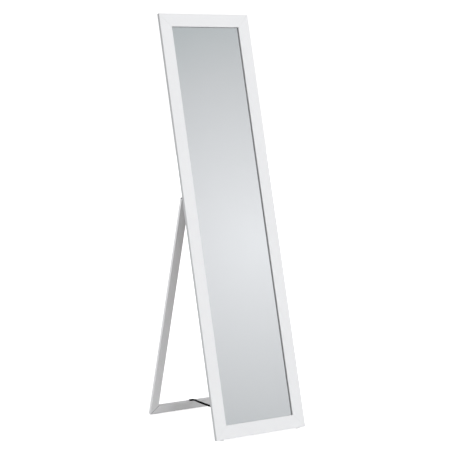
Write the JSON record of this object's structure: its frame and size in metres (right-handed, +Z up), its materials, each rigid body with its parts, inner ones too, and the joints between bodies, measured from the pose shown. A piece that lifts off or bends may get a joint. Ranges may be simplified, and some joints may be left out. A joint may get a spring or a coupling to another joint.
{
  "type": "free-standing floor mirror",
  "caption": "Full-length rectangular floor mirror in a flat white frame that leans back on a hinged rear leg frame, held open by a black strap.",
  "frame": {"origin": "on the floor, under the middle of the whole object's outline when the leg is open", "axes": "+Z up; the mirror faces -Y and leans back towards +Y; +X to the right seen from the front; the object is symmetric across X = 0 except for the strap's folded end"},
  "size_m": [0.4, 0.4886, 1.5502],
  "materials": {
    "white_lacquer": "satin white paint on smooth moulding",
    "mirror": "silvered float glass",
    "hardboard": "bare grey-brown pressed fibre board",
    "spring_steel": "bright sheet steel",
    "dark_zinc": "dark zinc plated steel",
    "black_steel": "black plated steel",
    "webbing": "black woven ribbon",
    "felt": "pressed white felt"
  },
  "bodies": {
    "mirror": {"frame_left_stile": "white_lacquer", "frame_right_stile": "white_lacquer", "frame_top_rail": "white_lacquer", "frame_bottom_rail": "white_lacquer", "mirror_glass": "mirror", "backing_board": "hardboard", "backing_point_left_1": "spring_steel", "backing_point_left_2": "spring_steel", "backing_point_left_3": "spring_steel", "backing_point_left_4": "spring_steel", "backing_point_right_1": "spring_steel", "backing_point_right_2": "spring_steel", "backing_point_right_3": "spring_steel", "backing_point_right_4": "spring_steel", "backing_point_top": "spring_steel", "backing_point_bottom": "spring_steel", "frame_v_nail_lower_left": "spring_steel", "frame_v_nail_lower_right": "spring_steel", "frame_v_nail_upper_left": "spring_steel", "frame_v_nail_upper_right": "spring_steel", "hinge_panel_leaf_left": "dark_zinc", "hinge_panel_leaf_right": "dark_zinc", "hinge_pin_left": "dark_zinc", "hinge_pin_right": "dark_zinc", "hinge_panel_screw_left_1": "dark_zinc", "hinge_panel_screw_left_2": "dark_zinc", "hinge_panel_screw_right_1": "dark_zinc", "hinge_panel_screw_right_2": "dark_zinc", "strap_washer_mirror": "black_steel", "strap_screw_mirror": "black_steel", "strap": "webbing", "mirror_pad_left": "felt", "mirror_pad_right": "felt"},
    "leg": {"leg_left_stile": "white_lacquer", "leg_right_stile": "white_lacquer", "leg_bottom_rail": "white_lacquer", "leg_v_nail_lower_left": "spring_steel", "leg_v_nail_lower_right": "spring_steel", "hinge_leg_leaf_left": "dark_zinc", "hinge_leg_leaf_right": "dark_zinc", "hinge_leg_screw_left_1": "dark_zinc", "hinge_leg_screw_left_2": "dark_zinc", "hinge_leg_screw_right_1": "dark_zinc", "hinge_leg_screw_right_2": "dark_zinc", "strap_washer_leg": "black_steel", "strap_screw_leg": "black_steel", "strap_tail": "webbing", "leg_pad_left": "felt", "leg_pad_right": "felt"}
  },
  "joints": [
    {"name": "leg_fold", "type": "hinge", "parent": "mirror", "child": "leg", "pos_m": [0, 0.00387, 0.87016], "axis": [-1, 0, 0], "range_deg": [0, 29.5], "deforming": ["strap"]}
  ]
}
